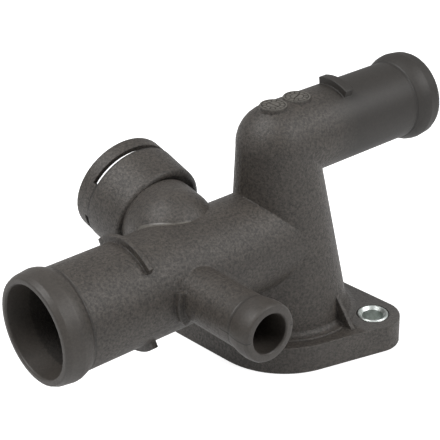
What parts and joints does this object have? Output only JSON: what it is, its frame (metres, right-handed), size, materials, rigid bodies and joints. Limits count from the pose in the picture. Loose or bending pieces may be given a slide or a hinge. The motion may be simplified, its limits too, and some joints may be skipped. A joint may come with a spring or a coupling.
{
  "type": "coolant flange",
  "caption": "Moulded coolant flange: a tapered riser on a two-bolt oval flange, hose spigots at right angles and a clip-slotted sensor socket.",
  "frame": {"origin": "centre of the engine port, on the joint face of the bolt flange", "axes": "+Z away from the engine block along the riser, +X along the medium hose spigot, -X along the large one, -Y along the small one"},
  "size_m": [0.1491, 0.0925, 0.0838],
  "materials": {
    "polyamide": "matte black glass-filled polyamide with a faint fibre mottle",
    "zinc_steel": "bright zinc-plated steel",
    "seal_rubber": "black moulded rubber"
  },
  "bodies": {
    "root": {"housing": "polyamide", "front_sleeve": "zinc_steel", "rear_sleeve": "zinc_steel", "flange_seal": "seal_rubber"}
  },
  "joints": []
}
